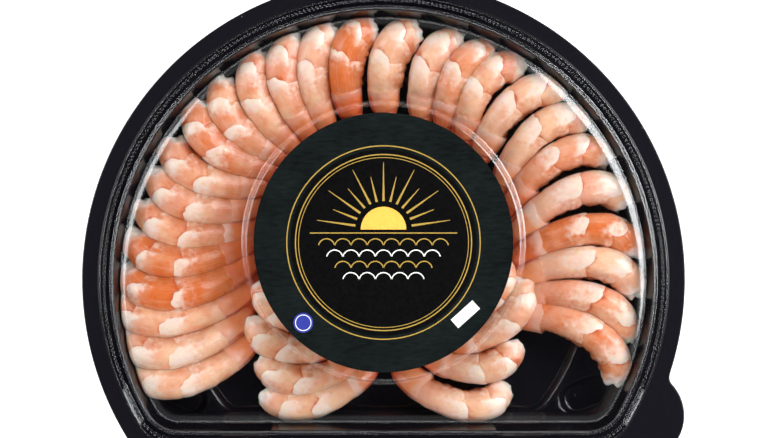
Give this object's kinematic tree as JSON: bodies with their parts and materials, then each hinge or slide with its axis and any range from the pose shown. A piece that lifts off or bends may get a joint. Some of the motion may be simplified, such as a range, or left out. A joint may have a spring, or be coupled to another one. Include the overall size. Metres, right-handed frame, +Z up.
{
  "type": "shrimp cocktail ring tray",
  "caption": "Cooked tail-on shrimp laid in a ring round a cup of cocktail sauce, in a shut D-shaped black tray with a clear domed press-on lid and a round label.",
  "frame": {"origin": "centre of the pack's underside, on the surface it stands on", "axes": "+Z up through the label, -Y towards the tray's straight side, +X towards the side with the opening tab"},
  "size_m": [0.28, 0.2246, 0.043],
  "materials": {
    "tray_black": "glossy black thermoformed PET sheet",
    "lid_clear": "clear thermoformed PET sheet, glossy",
    "label_print": "printed label, dark slate with a black panel and gold rules, satin",
    "cup_white": "smooth white polypropylene",
    "sauce_red": "thick red cocktail sauce, wet",
    "shrimp_flesh": "moist cooked shrimp, cream bands on peach-orange"
  },
  "bodies": {
    "root": {"tray": "tray_black", "lid": "lid_clear", "label": "label_print", "sauce_cup": "cup_white", "cocktail_sauce": "sauce_red", "shrimp_01": "shrimp_flesh", "shrimp_02": "shrimp_flesh", "shrimp_03": "shrimp_flesh", "shrimp_04": "shrimp_flesh", "shrimp_05": "shrimp_flesh", "shrimp_06": "shrimp_flesh", "shrimp_07": "shrimp_flesh", "shrimp_08": "shrimp_flesh", "shrimp_09": "shrimp_flesh", "shrimp_10": "shrimp_flesh", "shrimp_11": "shrimp_flesh", "shrimp_12": "shrimp_flesh", "shrimp_13": "shrimp_flesh", "shrimp_14": "shrimp_flesh", "shrimp_15": "shrimp_flesh", "shrimp_16": "shrimp_flesh", "shrimp_17": "shrimp_flesh", "shrimp_18": "shrimp_flesh", "shrimp_19": "shrimp_flesh", "shrimp_20": "shrimp_flesh", "shrimp_21": "shrimp_flesh", "shrimp_22": "shrimp_flesh", "shrimp_23": "shrimp_flesh", "shrimp_24": "shrimp_flesh", "shrimp_25": "shrimp_flesh", "shrimp_26": "shrimp_flesh", "shrimp_27": "shrimp_flesh", "shrimp_28": "shrimp_flesh", "shrimp_29": "shrimp_flesh", "shrimp_30": "shrimp_flesh", "shrimp_31": "shrimp_flesh", "shrimp_32": "shrimp_flesh", "shrimp_33": "shrimp_flesh", "shrimp_34": "shrimp_flesh"}
  },
  "joints": []
}
